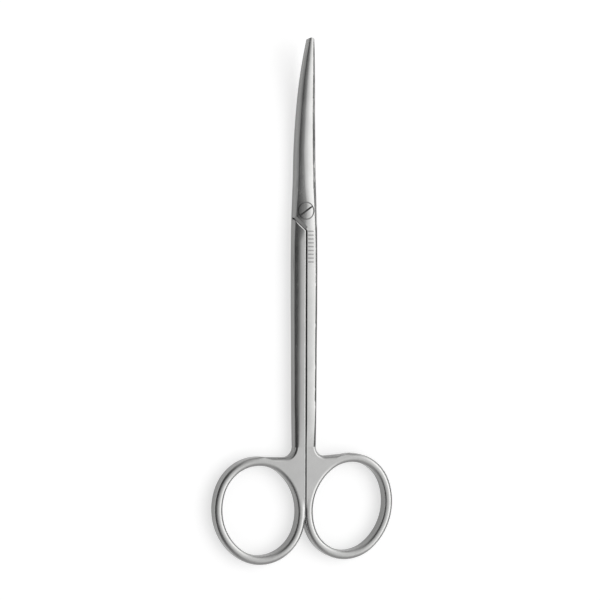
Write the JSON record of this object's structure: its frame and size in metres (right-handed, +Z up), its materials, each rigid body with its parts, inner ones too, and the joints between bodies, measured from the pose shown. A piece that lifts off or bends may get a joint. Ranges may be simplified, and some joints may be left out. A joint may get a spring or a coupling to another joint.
{
  "type": "dissecting scissors",
  "caption": "Slim dissecting scissors with two finger rings, a lapped screw joint and blunt blades curved on the flat.",
  "frame": {"origin": "on the pivot axis, at the surface that the closed pair lies on", "axes": "+Y along the closed blades to the tips, +X to the upper half's finger ring, +Z up from the table, along the pivot axis"},
  "size_m": [0.0654, 0.1774, 0.0086],
  "materials": {
    "upper_half_steel": "satin stainless steel",
    "lower_half_steel": "satin stainless steel",
    "screw_steel": "satin stainless steel, ground flush"
  },
  "bodies": {
    "lower_half": {"lower_blade_half": "lower_half_steel", "pivot_screw": "screw_steel"},
    "upper_half": {"upper_blade_half": "upper_half_steel"}
  },
  "joints": [
    {"name": "blade_pivot", "type": "hinge", "parent": "lower_half", "child": "upper_half", "pos_m": [0, 0, 0], "axis": [0, 0, 1], "range_deg": [0, 65]}
  ]
}
